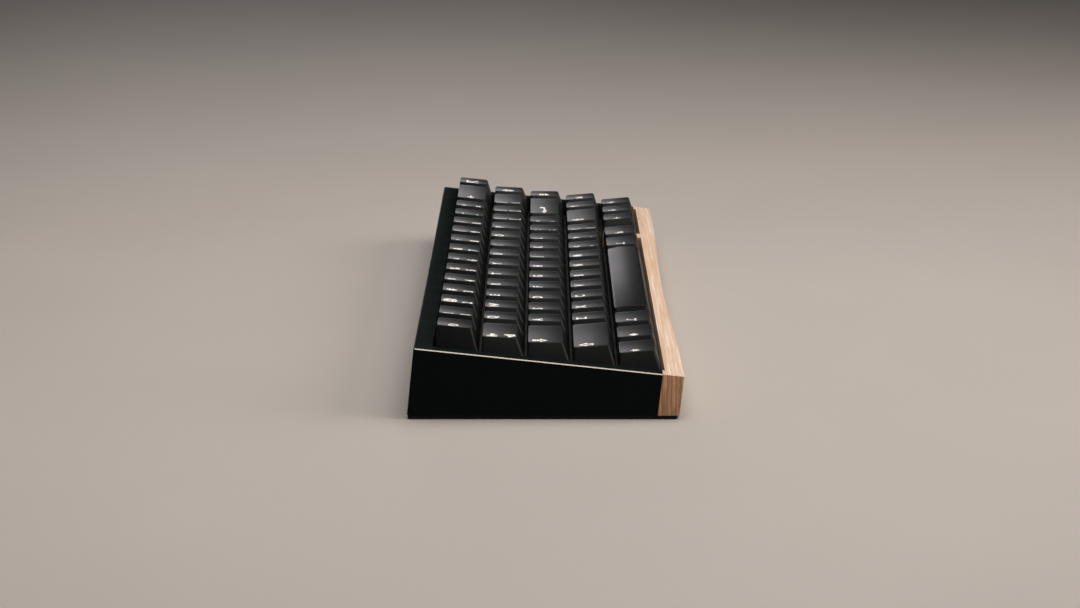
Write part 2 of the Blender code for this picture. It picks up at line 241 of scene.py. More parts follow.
def key_body(name):
    """The moving body that carries a key."""
    if name in NAVIGATION:
        return "navigation_keys"
    return "number_keys" if name in NUMBER_ROW else "key_" + name


def keys():
    """Each key's name, width in units, row, legends and place on the deck."""
    for row, row_keys in enumerate(KEY_ROWS):
        x = -GRID_UNITS / 2
        for name, width, marks in row_keys:
            if name:
                place = Vector((x + width / 2, (GRID_ROWS - 1) / 2 - row, 0)) * UNIT
                yield name, width, row, marks, place
            x += width


# ---- Modelling helpers -------------------------------------------------------------------------------------


def alone(piece):
    bpy.ops.object.select_all(action="DESELECT")
    piece.select_set(True)
    bpy.context.view_layer.objects.active = piece


@contextmanager
def shaping(piece, kind):
    """Opens a piece for modelling on its FACE or EDGE elements."""
    alone(piece)
    bpy.ops.object.mode_set(mode="EDIT")
    bpy.ops.mesh.select_mode(type=kind)
    yield
    bpy.ops.object.mode_set(mode="OBJECT")


def pick(piece, kind, test):
    """Selects the faces or edges that pass a test, and nothing else."""
    bpy.ops.mesh.select_all(action="DESELECT")
    mesh = bmesh.from_edit_mesh(piece.data)
    mesh.normal_update()
    for element in getattr(mesh, kind):
        element.select_set(bool(test(element)))
    bmesh.update_edit_mesh(piece.data)


def block(name, low, high):
    """A box between two corners."""
    low, high = Vector(low), Vector(high)
    bpy.ops.mesh.primitive_cube_add(size=1, location=(low + high) / 2)
    made = bpy.context.object
    made.name = name
    made.scale = high - low
    alone(made)
    bpy.ops.object.transform_apply(location=True, rotation=False, scale=True)
    return made


def pillar(name, size, low, high, middle=(0, 0)):
    """An upright box between two heights, about a vertical line."""
    x, y = middle
    return block(name, (x - size[0] / 2, y - size[1] / 2, low), (x + size[0] / 2, y + size[1] / 2, high))


def rod(name, radius, low, high, sides=24, taper=1.0):
    """An upright rod between two points on one vertical line."""
    low, high = Vector(low), Vector(high)
    bpy.ops.mesh.primitive_cone_add(vertices=sides, radius1=radius, radius2=radius * taper,
                                    depth=(high - low).z, location=(low + high) / 2)
    made = bpy.context.object
    made.name = name
    alone(made)
    bpy.ops.object.transform_apply(location=True, rotation=False, scale=True)
    return made


def carve(piece, tool, operation="DIFFERENCE"):
    """Cuts a tool out of a piece, or with UNION builds it in, and uses the tool up."""
    step = piece.modifiers.new("carve", "BOOLEAN")
    step.operation = operation
    step.solver = "EXACT"
    step.object = tool
    alone(piece)
    bpy.ops.object.modifier_apply(modifier=step.name)
    bpy.data.objects.remove(tool)


def soften(piece, width, segments=2, angle=35):
    """Rounds every sharp edge."""
    step = piece.modifiers.new("soften", "BEVEL")
    step.width = width
    step.segments = segments
    step.limit_method = "ANGLE"
    step.angle_limit = radians(angle)
    alone(piece)
    bpy.ops.object.modifier_apply(modifier=step.name)


def run(edge, axis):
    """How far an edge runs along an axis: 0, 1 or 2 for X, Y or Z."""
    first, second = (vert.co for vert in edge.verts)
    return abs(first[axis] - second[axis])


def bevel_edges(piece, test, offset, segments, **settings):
    """Bevels the edges that pass a test."""
    with shaping(piece, "EDGE"):
        pick(piece, "edges", test)
        bpy.ops.mesh.bevel(offset=offset, segments=segments, affect="EDGES", **settings)


def slice_up(piece, axis, places):
    """Cuts a piece's faces across at each place along an axis, so that its surface can curve."""
    with shaping(piece, "FACE"):
        for place in places:
            bpy.ops.mesh.select_all(action="SELECT")
            bpy.ops.mesh.bisect(plane_co=axis * place, plane_no=axis)


def smooth(piece, angle=35):
    alone(piece)
    bpy.ops.object.shade_smooth_by_angle(angle=radians(angle))


def copy_of(piece, name):
    made = piece.copy()
    made.data = piece.data.copy()
    made.name = name
    bpy.context.scene.collection.objects.link(made)
    return made


def joined(pieces):
    """Makes several pieces one; each of the first one's finishes stays on its own faces."""
    alone(pieces[0])
    if len(pieces) > 1:
        for piece in pieces:
            piece.select_set(True)
        bpy.ops.object.join()
    return pieces[0]


def paint(piece, finish):
    piece.data.materials.clear()
    piece.data.materials.append(finish)


def fit(piece, body, slot, *nodes):
    """Joins a piece to its moving body and hides the CAD nodes that it stands for; slot is not used."""
    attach(piece, body)
    if nodes:
        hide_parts(*nodes)


def lay(piece, place=(0, 0, 0)):
    """Lays a level piece on the deck's slope."""
    piece.data.transform(DECK @ Matrix.Translation(place))


# ---- Finishes ----------------------------------------------------------------------------------------------


def wire(tree, source, target):
    tree.links.new(source, target)


def node(tree, kind, **settings):
    made = tree.nodes.new(kind)
    for name, value in settings.items():
        if hasattr(made, name) and name not in made.inputs:
            setattr(made, name, value)
        else:
            made.inputs[name].default_value = value
    return made


def texture(tree, kind, vector=None, **settings):
    """A pattern that stays put on its piece, on Object coordinates or a stretched copy of them."""
    made = node(tree, kind, **settings)
    if vector is None:
        vector = node(tree, "ShaderNodeTexCoord").outputs["Object"]
    wire(tree, vector, made.inputs["Vector"])
    return made


def ramp(tree, value, low, high, start=0.0, end=1.0):
    """Spreads the part of a value between low and high over start to end."""
    made = node(tree, "ShaderNodeMapRange", clamp=True)
    for label, limit in (("From Min", low), ("From Max", high), ("To Min", start), ("To Max", end)):
        made.inputs[label].default_value = limit
    wire(tree, value, made.inputs["Value"])
    return made.outputs["Result"]


def maths(tree, operation, *values):
    """One step of arithmetic; each value is a number or a socket."""
    made = node(tree, "ShaderNodeMath", operation=operation)
    for spot, value in zip(made.inputs, values):
        if isinstance(value, (int, float)):
            spot.default_value = value
        else:
            wire(tree, value, spot)
    return made.outputs[0]


def facing(tree, axis):
    """How far the surface faces along X, Y or Z, from -1 to 1."""
    split = node(tree, "ShaderNodeSeparateXYZ")
    wire(tree, node(tree, "ShaderNodeNewGeometry").outputs["Normal"], split.inputs[0])
    return split.outputs[axis]


def new_group(name, inputs, outputs):
    """A node group with named number inputs and outputs."""
    group = bpy.data.node_groups.new(name, "ShaderNodeTree")
    for label, value in inputs.items():
        made = group.interface.new_socket(label, in_out="INPUT", socket_type="NodeSocketFloat")
        made.default_value = value
    for label in outputs:
        group.interface.new_socket(label, in_out="OUTPUT", socket_type="NodeSocketFloat")
    return group, group.nodes.new("NodeGroupInput"), group.nodes.new("NodeGroupOutput")


def fine_skin_group():
    """A fine moulded or blasted skin: its height, and a roughness that drifts over the surface."""
    group, given, out = new_group("fine_skin", {"Grain": 3000.0, "Roughness": 0.5, "Drift": 0.1},
                                  ("Height", "Roughness"))
    grain = texture(group, "ShaderNodeTexNoise", Detail=3.0, Roughness=0.6)
    wire(group, given.outputs["Grain"], grain.inputs["Scale"])
    wire(group, grain.outputs["Fac"], out.inputs["Height"])
    drift = texture(group, "ShaderNodeTexNoise", Scale=70.0, Detail=4.0, Roughness=0.55)
    centred = maths(group, "SUBTRACT", drift.outputs["Fac"], 0.5)
    drifting = maths(group, "MULTIPLY_ADD", centred, given.outputs["Drift"], given.outputs["Roughness"])
    wire(group, drifting, out.inputs["Roughness"])
    return group


def edge_wear_group():
    """Where a proud edge is rubbed, broken up by a fine noise."""
    group, given, out = new_group("edge_wear", {"Amount": 1.0}, ("Mask",))
    proud = ramp(group, node(group, "ShaderNodeNewGeometry").outputs["Pointiness"], 0.51, 0.6)
    rub = texture(group, "ShaderNodeTexNoise", Scale=450.0, Detail=3.0)
    broken = maths(group, "MULTIPLY", proud, rub.outputs["Fac"])
    wire(group, maths(group, "MULTIPLY", broken, given.outputs["Amount"]), out.inputs["Mask"])
    return group


def dust_group():
    """Sparse specks that settle on faces that look up."""
    group, given, out = new_group("settled_dust", {"Amount": 0.5}, ("Mask",))
    specks = texture(group, "ShaderNodeTexVoronoi", Scale=520.0)
    small = ramp(group, specks.outputs["Distance"], 0.16, 0.06)
    patches = texture(group, "ShaderNodeTexNoise", Scale=900.0, Detail=2.0)
    rare = ramp(group, patches.outputs["Fac"], 0.58, 0.66)
    upward = ramp(group, facing(group, "Z"), 0.7, 0.95)
    settled = maths(group, "MULTIPLY", maths(group, "MULTIPLY", small, rare), upward)
    wire(group, maths(group, "MULTIPLY", settled, given.outputs["Amount"]), out.inputs["Mask"])
    return group


FINE_SKIN = fine_skin_group()
EDGE_WEAR = edge_wear_group()
DUST = dust_group()
DUST_COLOUR = (0.42, 0.38, 0.34)


def use_group(tree, group, **values):
    made = tree.nodes.new("ShaderNodeGroup")
    made.node_tree = group
    for name, value in values.items():
        made.inputs[name].default_value = value
    return made


def blend_colours(tree, factor, first, second):
    """A colour mix; each of first and second is a colour or a socket."""
    made = tree.nodes.new("ShaderNodeMix")
    made.data_type = "RGBA"
    wire(tree, factor, made.inputs["Factor"])
    for label, colour in (("A", first), ("B", second)):
        target = [spot for spot in made.inputs if spot.name == label and spot.type == "RGBA"][0]
        if isinstance(colour, tuple):
            target.default_value = (*colour, 1)
        else:
            wire(tree, colour, target)
    return [spot for spot in made.outputs if spot.type == "RGBA"][0]


def raise_skin(tree, shader, height, strength, distance):
    relief = node(tree, "ShaderNodeBump", Strength=strength, Distance=distance)
    wire(tree, height, relief.inputs["Height"])
    wire(tree, relief.outputs["Normal"], shader.inputs["Normal"])


def plain_finish(name, metallic=0.0, specular=0.5):
    finish = bpy.data.materials.new(name)
    finish.use_nodes = True
    shader = finish.node_tree.nodes["Principled BSDF"]
    shader.inputs["Metallic"].default_value = metallic
    shader.inputs["Specular IOR Level"].default_value = specular
    return finish, finish.node_tree, shader


def coated_finish(name, colour, worn, skin, bump, metallic=0.0, specular=0.5, wear=0.6, dust=0.0):
    """A moulded, blasted or coated surface: a drifting skin, rubbed edges and settled dust.

    skin is its grain's scale, its roughness and how far that drifts; bump is its relief's strength and height.
    """
    finish, tree, shader = plain_finish(name, metallic, specular)
    surface = use_group(tree, FINE_SKIN, Grain=skin[0], Roughness=skin[1], Drift=skin[2])
    wire(tree, surface.outputs["Roughness"], shader.inputs["Roughness"])
    rubbed = use_group(tree, EDGE_WEAR, Amount=wear)
    tint = blend_colours(tree, rubbed.outputs["Mask"], colour, worn)
    if dust:
        specks = use_group(tree, DUST, Amount=dust)
        tint = blend_colours(tree, specks.outputs["Mask"], tint, DUST_COLOUR)
    wire(tree, tint, shader.inputs["Base Color"])
    raise_skin(tree, shader, surface.outputs["Height"], *bump)
    return finish


def wood_finish():
    """Pale close-grained wood, its grain along X: upright growth layers, fibres, pores and warmer end grain."""
    finish, tree, shader = plain_finish("oiled_wood", specular=0.02)
    place = node(tree, "ShaderNodeTexCoord")

    def stretched(scales):
        made = node(tree, "ShaderNodeMapping", Scale=scales)
        wire(tree, place.outputs["Object"], made.inputs["Vector"])
        return made.outputs["Vector"]

    def noise(scales, low, high, strength, detail=4.0):
        """Stretched noise, with the part between low and high spread to 0 and strength."""
        made = texture(tree, "ShaderNodeTexNoise", stretched(scales), Scale=1.0, Detail=detail, Roughness=0.6)
        return ramp(tree, made.outputs["Fac"], low, high, end=strength)

    def sharpened(factor, power, strength):
        return maths(tree, "MULTIPLY", maths(tree, "POWER", factor, power), strength)

    def stained(colour, *stains):
        """A colour with stains laid over it in turn, each a mask and a colour."""
        for mask, stain in stains:
            colour = blend_colours(tree, mask, colour, stain)
        return colour

    layers = texture(tree, "ShaderNodeTexWave", stretched((7, 170, 22)), wave_type="BANDS", bands_direction="Y",
                     wave_profile="SAW", Scale=1.0, Distortion=3.2, Detail=3.0)
    layers.inputs["Detail Scale"].default_value = 0.22
    growth = layers.outputs["Fac"]
    drift = noise((8, 55, 50), 0.3, 0.7, 1.0)
    coarse = noise((20, 480, 300), 0.45, 0.62, 0.75)
    fibres = noise((42, 1150, 900), 0.42, 0.62, 0.8, 5.0)
    pores = noise((170, 4200, 4200), 0.6, 0.7, 0.3, 2.0)
    along = stained(blend_colours(tree, drift, (0.67, 0.585, 0.505), (0.59, 0.465, 0.37)),
                    (sharpened(growth, 2.5, 0.5), (0.36, 0.205, 0.12)),
                    (coarse, (0.46, 0.3, 0.195)),
                    (fibres, (0.5, 0.335, 0.225)),
                    (pores, (0.25, 0.14, 0.08)))
    across = stained(blend_colours(tree, drift, (0.72, 0.41, 0.235), (0.56, 0.29, 0.155)),
                     (sharpened(growth, 2.0, 0.8), (0.17, 0.075, 0.035)),
                     (noise((40, 750, 60), 0.42, 0.62, 0.75), (0.25, 0.115, 0.052)),
                     (noise((60, 2600, 500), 0.5, 0.7, 0.5), (0.62, 0.4, 0.25)))
    end_grain = ramp(tree, maths(tree, "ABSOLUTE", facing(tree, "X")), 0.6, 0.9)
    rubbed = use_group(tree, EDGE_WEAR, Amount=0.12)
    whole = stained(along, (end_grain, across), (rubbed.outputs["Mask"], (0.72, 0.56, 0.42)))
    wire(tree, whole, shader.inputs["Base Color"])
    wire(tree, ramp(tree, fibres, 0.0, 1.0, 0.6, 0.8), shader.inputs["Roughness"])
    raise_skin(tree, shader, fibres, 0.3, 0.0001)
    return finish


CAP_PLASTIC = coated_finish("cap_plastic", (0.005, 0.006, 0.0058), (0.05, 0.047, 0.046), (2600.0, 0.38, 0.1),
                            (0.14, 0.00004), specular=0.12, wear=0.07, dust=0.15)
LEGEND_PLASTIC = coated_finish("legend_plastic", (0.88, 0.85, 0.81), (0.6, 0.58, 0.55), (2600.0, 0.5, 0.1),
                               (0.1, 0.00003), wear=0.0)
CASE_BLACK = coated_finish("case_anodised", (0.004, 0.007, 0.0066), (0.03, 0.029, 0.028), (5200.0, 0.42, 0.08),
                           (0.12, 0.00003), specular=0.0008, wear=0.15, dust=0.1)
# A bare cut-metal edge along the case's top chamfer. Its lighter colour is also partly a painted highlight.
CUT_EDGE_AND_HIGHLIGHT = coated_finish("case_cut_edge_and_highlight", (0.2, 0.175, 0.155), (0.32, 0.29, 0.26), (5200.0, 0.26, 0.08),
                            (0.05, 0.00002), metallic=0.7, wear=0.2)
BASE_COAT = coated_finish("base_coat", (0.006, 0.006, 0.0065), (0.05, 0.05, 0.05), (1500.0, 0.55, 0.12),
                          (0.35, 0.00008), specular=0.2, wear=0.06)
PLATE_COAT = coated_finish("plate_coat", (0.055, 0.051, 0.047), (0.16, 0.15, 0.14), (3800.0, 0.5, 0.1),
                           (0.15, 0.00004), specular=0.2, wear=0.3, dust=1.0)
HOUSING_NYLON = coated_finish("housing_nylon", (0.045, 0.041, 0.037), (0.2, 0.19, 0.17), (2400.0, 0.4, 0.12),
                              (0.12, 0.00004), specular=0.3, wear=0.3, dust=0.4)
SLIDER_PLASTIC = coated_finish("slider_plastic", (0.09, 0.06, 0.045), (0.2, 0.15, 0.12), (2400.0, 0.3, 0.1),
                               (0.08, 0.00003), wear=0.3)
BOARD_LACQUER = coated_finish("board_lacquer", (0.008, 0.02, 0.014), (0.02, 0.045, 0.03), (900.0, 0.3, 0.12),
                              (0.2, 0.00005), wear=0.4)
CHIP_RESIN = coated_finish("chip_resin", (0.012, 0.012, 0.012), (0.05, 0.05, 0.05), (3000.0, 0.6, 0.1),
                           (0.3, 0.00005), wear=0.3)
FOOT_RUBBER = coated_finish("foot_rubber", (0.018, 0.018, 0.018), (0.05, 0.05, 0.05), (1800.0, 0.8, 0.1),
                            (0.4, 0.0001), specular=0.3, wear=0.5, dust=0.2)
STEEL = coated_finish("bright_steel", (0.55, 0.55, 0.56), (0.75, 0.75, 0.76), (2600.0, 0.3, 0.14),
                      (0.08, 0.00003), metallic=1.0, wear=0.4)
OILED_WOOD = wood_finish()


# ---- Keycaps -----------------------------------------------------------------------------------------------


def cap_size(width):
    """A cap's length and depth at its foot and at its top."""
    grown = (width - 1) * UNIT
    return Vector((CAP_BASE + grown, CAP_BASE)), Vector((CAP_TOP[0] + grown, CAP_TOP[1]))


def slope_at(row, y):
    """The height of a cap's flat top before it is dished."""
    return ROW_HEIGHTS[row] - (y - CAP_SKEW) * tan(ROW_TILTS[row])


def dish_at(width, x, y):
    """How far the top is sunk by its dish, or raised on the space bar."""
    top = cap_size(width)[1]
    if width == SPACE_WIDTH:
        across = min(1, abs(y - CAP_SKEW) / (top.y / 2))
        return -SPACE_CROWN * (1 - across ** 2)
    along = min(1, abs(x) / (top.x / 2))
    return CAP_DISH * (1 - along ** 2)


def taper_face(cap, row, ratio, thickness):
    """Narrows the picked face, moves it back and lays it on the cap's slope, less a thickness."""
    bpy.ops.transform.resize(value=(*ratio, 1), center_override=(0, 0, 0))
    bpy.ops.transform.translate(value=(0, CAP_SKEW, 0))
    mesh = bmesh.from_edit_mesh(cap.data)
    for vert in mesh.verts:
        if vert.select:
            vert.co.z = slope_at(row, vert.co.y) - thickness
    bmesh.update_edit_mesh(cap.data)


def dish_cap(cap, width, row):
    """Sinks or crowns a cap's top and rim, which slide along its sides as they go."""
    base, top = cap_size(width)
    for vert in cap.data.vertices:
        if vert.co.z < slope_at(row, vert.co.y) - RIM_ZONE:
            continue
        drop = dish_at(width, vert.co.x, vert.co.y)
        foot = (vert.co.y - CAP_SKEW) * base.y / top.y
        vert.co.y += drop / ROW_HEIGHTS[row] * (foot - vert.co.y)
        vert.co.z -= drop


def cap_post(x, reach):
    """The round post under a cap, with the cross-shaped socket that takes a switch's stem."""
    post = rod("post", POST_RADIUS, (x, 0, POST_FOOT), (x, 0, reach))
    for size in POST_CROSS:
        carve(post, pillar("cross", size, CROSS_FOOT, POST_CROSS_TOP, (x, 0)))
    return post


def blank_cap(width, row):
    """A hollow cap without its legend, its foot at z = 0."""
    base, top = cap_size(width)
    height = ROW_HEIGHTS[row]
    cap = pillar("cap_blank", base, 0, height)

    def on_rim(edge):
        """Round the top of the cap, not round the ceiling inside it."""
        spot = edge.verts[0].co
        between = len({face.normal.z > 0.9 for face in edge.link_faces}) == 2
        return between and spot.z > height / 2 and slope_at(row, spot.y) - spot.z < CAP_RIM

    with shaping(cap, "FACE"):
        pick(cap, "faces", lambda face: face.normal.z > 0.9)
        taper_face(cap, row, (top.x / base.x, top.y / base.y), 0)
    bevel_edges(cap, lambda edge: run(edge, 2) > height / 2, CAP_CORNER, 4)
    with shaping(cap, "FACE"):
        pick(cap, "faces", lambda face: face.normal.z < -0.9)
        bpy.ops.mesh.inset(thickness=CAP_WALL)
        bpy.ops.mesh.extrude_region_move(TRANSFORM_OT_translate={"value": (0, 0, height / 2)})
        room = [size - 2 * CAP_WALL for size in (*base, *top)]
        taper_face(cap, row, (room[2] / room[0], room[3] / room[1]), CAP_CEILING)
    bevel_edges(cap, on_rim, CAP_RIM, 3)
    if width == SPACE_WIDTH:
        cuts = [CAP_SKEW + top.y * (step / SPACE_SLICES - 0.5) for step in range(1, SPACE_SLICES)]
        slice_up(cap, Vector((0, 1, 0)), cuts)
    else:
        count = 10 + 4 * int(width - 1)
        slice_up(cap, Vector((1, 0, 0)), [top.x * (step / count - 0.5) for step in range(1, count)])
    dish_cap(cap, width, row)
    side = STABILISER_OFFSETS.get(width)
    places = (0, -side, side) if side else (0,)
    carve(cap, joined([cap_post(x, height - CAP_CEILING / 2) for x in places]), "UNION")
    smooth(cap, 30)
    paint(cap, CAP_PLASTIC)
    return cap


def flat_mark(text, lengths):
    """One letter or symbol as a thin mesh about the origin; lengths stretch a symbol to its size."""
    bpy.ops.object.text_add()
    mark = bpy.context.object
    mark.data.body = text
    mark.data.size = LETTER
    mark.data.offset = LEGEND_WEIGHT
    mark.data.extrude = (LEGEND_RISE + LEGEND_SINK) / 2
    mark.data.resolution_u = 6
    alone(mark)
    bpy.ops.object.convert(target="MESH")
    with shaping(mark, "FACE"):
        bpy.ops.mesh.select_all(action="SELECT")
        bpy.ops.mesh.remove_doubles(threshold=0.000001)
    corners = [Vector(corner) for corner in mark.bound_box]
    size = corners[6] - corners[0]
    scale = (lengths[0] / size.x, lengths[1] / size.y) if lengths else (1, 1)
    turn = -1 if text == "⇪" else 1
    middle = Matrix.Translation(-(corners[0] + corners[6]) / 2)
    mark.data.transform(Matrix.Diagonal((turn * scale[0], turn * scale[1], 1, 1)) @ middle)
    return mark, size.x * scale[0]


def legend_pieces(marks, width, row):
    """The pale marks of one cap, sunk in its dish and almost flush with it."""
    top = cap_size(width)[1]
    made = []
    for text, spot, lengths in marks:
        mark, length = flat_mark(text, lengths)
        start = -top.x / 2 + LEGEND_MARGIN
        mark.data.transform(Matrix.Translation((start + length / 2, CAP_SKEW + LEGEND_PLACES[spot], 0)))
        steps = int(length / LEGEND_SLICE) + 1
        slice_up(mark, Vector((1, 0, 0)), [start + length * step / steps for step in range(1, steps)])
        for vert in mark.data.vertices:
            surface = slope_at(row, vert.co.y) - dish_at(width, vert.co.x, vert.co.y)
            vert.co.z += surface + (LEGEND_RISE - LEGEND_SINK) / 2
        paint(mark, LEGEND_PLASTIC)
        made.append(mark)
    return made


def make_caps():
    blanks = {}
    for name, width, row, marks, place in keys():
        if (width, row) not in blanks:
            blanks[width, row] = blank_cap(width, row)
        cap = copy_of(blanks[width, row], "cap_" + name)
        cap = joined([cap] + legend_pieces(marks, width, row))
        lay(cap, place)
        fit(cap, key_body(name), "cap_plastic", key_body(name))
    for blank in blanks.values():
        bpy.data.objects.remove(blank)


# ---- Switches, plate and board -----------------------------------------------------------------------------


def switch_base():
    """The lower half of a switch: a tub through the plate, with the flange that rests on it."""
    base = pillar("switch_base", HOUSING_BODY, BOARD_TOP + SEAM, PLATE_TOP + PLAY)
    carve(base, pillar("flange", HOUSING_FLANGE, PLATE_TOP + SEAM, LID_FOOT), "UNION")
    carve(base, pillar("tub", HOUSING_TUB, SLOT_BOTTOM, BEYOND))
    soften(base, 0.0002, 1)
    return base


def switch_lid():
    """The upper half of a switch: a tapered lid with the slider's slot, a lamp window and four clips."""
    lid = pillar("switch_lid", LID_SHOULDER, LID_FOOT + SEAM, LID_TOP)
    with shaping(lid, "FACE"):
        pick(lid, "faces", lambda face: face.normal.z > 0.9)
        ratio = [crown / shoulder for crown, shoulder in zip(LID_CROWN, LID_SHOULDER)]
        bpy.ops.transform.resize(value=(*ratio, 1), center_override=(0, 0, 0))
    carve(lid, pillar("slot", SLOT, -BEYOND, BEYOND))
    carve(lid, pillar("lamp_window", LAMP_WINDOW, -BEYOND, BEYOND, LAMP_PLACE))
    for x in (-1, 1):
        for y in (-1, 1):
            corner = (x * CLIP_PLACE[0], y * CLIP_PLACE[1])
            carve(lid, pillar("clip", CLIP, -BEYOND, LID_FOOT + CLIP_HEIGHT, corner))
    soften(lid, 0.00022, 2)
    return lid


def switch_slider():
    """The sliding stem: a shouldered body in the slot and a cross that the cap is pressed onto."""
    slider = pillar("switch_slider", SLIDER, SLIDER_BOTTOM, POST_FOOT - SEAM)
    carve(slider, pillar("bore", SLIDER_BORE, -BEYOND, SLIDER_BORE_TOP))
    for size in STEM_CROSS:
        carve(slider, pillar("cross", size, CROSS_FOOT, STEM_TOP), "UNION")
    soften(slider, 0.00012, 1)
    return slider


def stabiliser_housing():
    """The upright box that guides one stabiliser stem, with a way through its front for the wire."""
    housing = pillar("stabiliser_housing", STABILISER_BODY, BOARD_TOP + SEAM, STABILISER_TOP)
    carve(housing, pillar("slot", STABILISER_SLOT, SLOT_BOTTOM, BEYOND))
    carve(housing, pillar("wire_way", WIRE_WAY, -BEYOND, WIRE_WAY_TOP, WIRE_WAY_PLACE))
    soften(housing, 0.0003, 2)
    return housing


def stabiliser_wire(name, side, place):
    """The bent steel wire that makes both ends of a wide cap go down together."""
    curve = bpy.data.curves.new(name, "CURVE")
    curve.dimensions = "3D"
    curve.bevel_depth = WIRE_RADIUS
    curve.bevel_resolution = 3
    curve.use_fill_caps = True
    left = [(-side, WIRE_TIP)]
    for step in range(WIRE_BEND_STEPS + 1):
        turn = radians(90 * step / WIRE_BEND_STEPS)
        left.append((-side + WIRE_BEND * (1 - cos(turn)), WIRE_BAR + WIRE_BEND * (1 - sin(turn))))
    path = left + [(-x, y) for x, y in reversed(left)]
    spline = curve.splines.new("POLY")
    spline.points.add(len(path) - 1)
    for spot, (x, y) in zip(spline.points, path):
        spot.co = (x, y, WIRE_LEVEL, 1)
    wire_piece = bpy.data.objects.new(name, curve)
    bpy.context.scene.collection.objects.link(wire_piece)
    alone(wire_piece)
    bpy.ops.object.convert(target="MESH")
    wire_piece = bpy.context.object
    with shaping(wire_piece, "EDGE"):
        bpy.ops.mesh.select_all(action="SELECT")
        bpy.ops.mesh.remove_doubles(threshold=0.00001)
        bpy.ops.mesh.normals_make_consistent(inside=False)
    smooth(wire_piece, 40)
    paint(wire_piece, STEEL)
    lay(wire_piece, place)
    fit(wire_piece, "case", "plate_metal", "circuit_board")


def make_switches():
    shapes = {
        "switch_base": (switch_base(), HOUSING_NYLON),
        "switch_lid": (switch_lid(), HOUSING_NYLON),
        "switch_slider": (switch_slider(), SLIDER_PLASTIC),
        "stabiliser_housing": (stabiliser_housing(), HOUSING_NYLON),
    }
    for shape, finish in shapes.values():
        smooth(shape, 35)
        paint(shape, finish)
    for name, width, row, marks, place in keys():
        for kind in ("switch_base", "switch_lid", "switch_slider"):
            made = copy_of(shapes[kind][0], f"{kind}_{name}")
            lay(made, place)
            if kind == "switch_slider":
                fit(made, key_body(name), "cap_plastic", key_body(name))
            else:
                fit(made, "case", "board_lacquer", "circuit_board")
        side = STABILISER_OFFSETS.get(width)
        if side:
            for label, x in (("left", -side), ("right", side)):
                housing = copy_of(shapes["stabiliser_housing"][0], f"stabiliser_{label}_{name}")
                lay(housing, place + Vector((x, 0, 0)))
                fit(housing, "case", "board_lacquer", "circuit_board")
            stabiliser_wire("stabiliser_wire_" + name, side, place)
    for shape, finish in shapes.values():
        bpy.data.objects.remove(shape)


def make_board():
    """The circuit board, with its controller chip and a diode beside each switch."""
    board = pillar("board", BOARD_SIZE, BOARD_BOTTOM, BOARD_TOP)
    bevel_edges(board, lambda edge: run(edge, 2) > 0.001, BOARD_CORNER, 4)
    soften(board, 0.0001, 1, 60)
    smooth(board)
    paint(board, BOARD_LACQUER)
    lay(board)
    fit(board, "case", "board_lacquer", "circuit_board")
    chip = pillar("controller_chip", CHIP_SIZE, BOARD_BOTTOM - CHIP_HEIGHT, BOARD_BOTTOM - SEAM, CHIP_PLACE)
    soften(chip, 0.0002, 2)
    smooth(chip)
    paint(chip, CHIP_RESIN)
    lay(chip)
    fit(chip, "case", "board_lacquer", "circuit_board")
    for name, width, row, marks, place in keys():
        diode = pillar("diode_" + name, DIODE_SIZE, BOARD_BOTTOM - DIODE_HEIGHT, BOARD_BOTTOM - SEAM)
        soften(diode, 0.0002, 1)
        paint(diode, CHIP_RESIN)
        lay(diode, place + DIODE_PLACE)
        fit(diode, "case", "board_lacquer", "circuit_board")


def make_usb_socket():
    """The steel shell of the USB socket under the board's back edge, and the tongue inside it."""
    length, depth, height = SOCKET_SIZE
    low = BOARD_BOTTOM - height
    socket = pillar("usb_socket", (length, depth), low, BOARD_BOTTOM - SEAM, (SOCKET_X, SOCKET_BACK - depth / 2))
    bevel_edges(socket, lambda edge: run(edge, 1) > depth / 2, SOCKET_ROUND, 6)
    with shaping(socket, "FACE"):
        pick(socket, "faces", lambda face: face.normal.y > 0.9)
        bpy.ops.mesh.inset(thickness=SOCKET_WALL)
        bpy.ops.mesh.extrude_region_move(TRANSFORM_OT_translate={"value": (0, -SOCKET_DEPTH, 0)})
    middle = low + height / 2
    length, depth, height = SOCKET_TONGUE
    carve(socket, pillar("tongue", (length, depth), middle - height / 2, middle + height / 2,
                         (SOCKET_X, SOCKET_BACK - 0.001 - depth / 2)), "UNION")
    smooth(socket, 40)
    paint(socket, STEEL)
    lay(socket)
    fit(socket, "case", "plate_metal", "circuit_board")


# ---- Case, wood, base and feet -----------------------------------------------------------------------------


def desk_cut(piece):
    """Cuts the walls off level, just above the base."""
    carve(piece, block("desk_cut", (-BEYOND, -BEYOND, -BEYOND), (BEYOND, BEYOND, WALL_BOTTOM)))


def back_corner(edge):
    return all(vert.co.y > CASE_BACK - SEAM for vert in edge.verts) and run(edge, 2) > 0.01


def bright_edge(edge):
    """Round the top of the case, along its back and both ends, but not at its joint with the wood."""
    ends = [vert.co for vert in edge.verts]
    on_top = all(end.z > CASE_TOP - SEAM for end in ends)
    at_joint = all(end.y < WOOD_JOINT + 0.001 for end in ends)
    return on_top and not at_joint


def well_mouth(edge):
    """Round the opening for the keys, apart from where the wood closes it."""
    ends = [vert.co for vert in edge.verts]
    on_top = all(end.z > CASE_TOP - SEAM for end in ends)
    inside = all(abs(end.x) < OPENING_HALF_LENGTH + SEAM and end.y < OPENING_BACK + SEAM for end in ends)
    at_joint = all(end.y < WOOD_JOINT + 2 * SEAM for end in ends)
    return on_top and inside and not at_joint and any(face.normal.z < 0.5 for face in edge.link_faces)


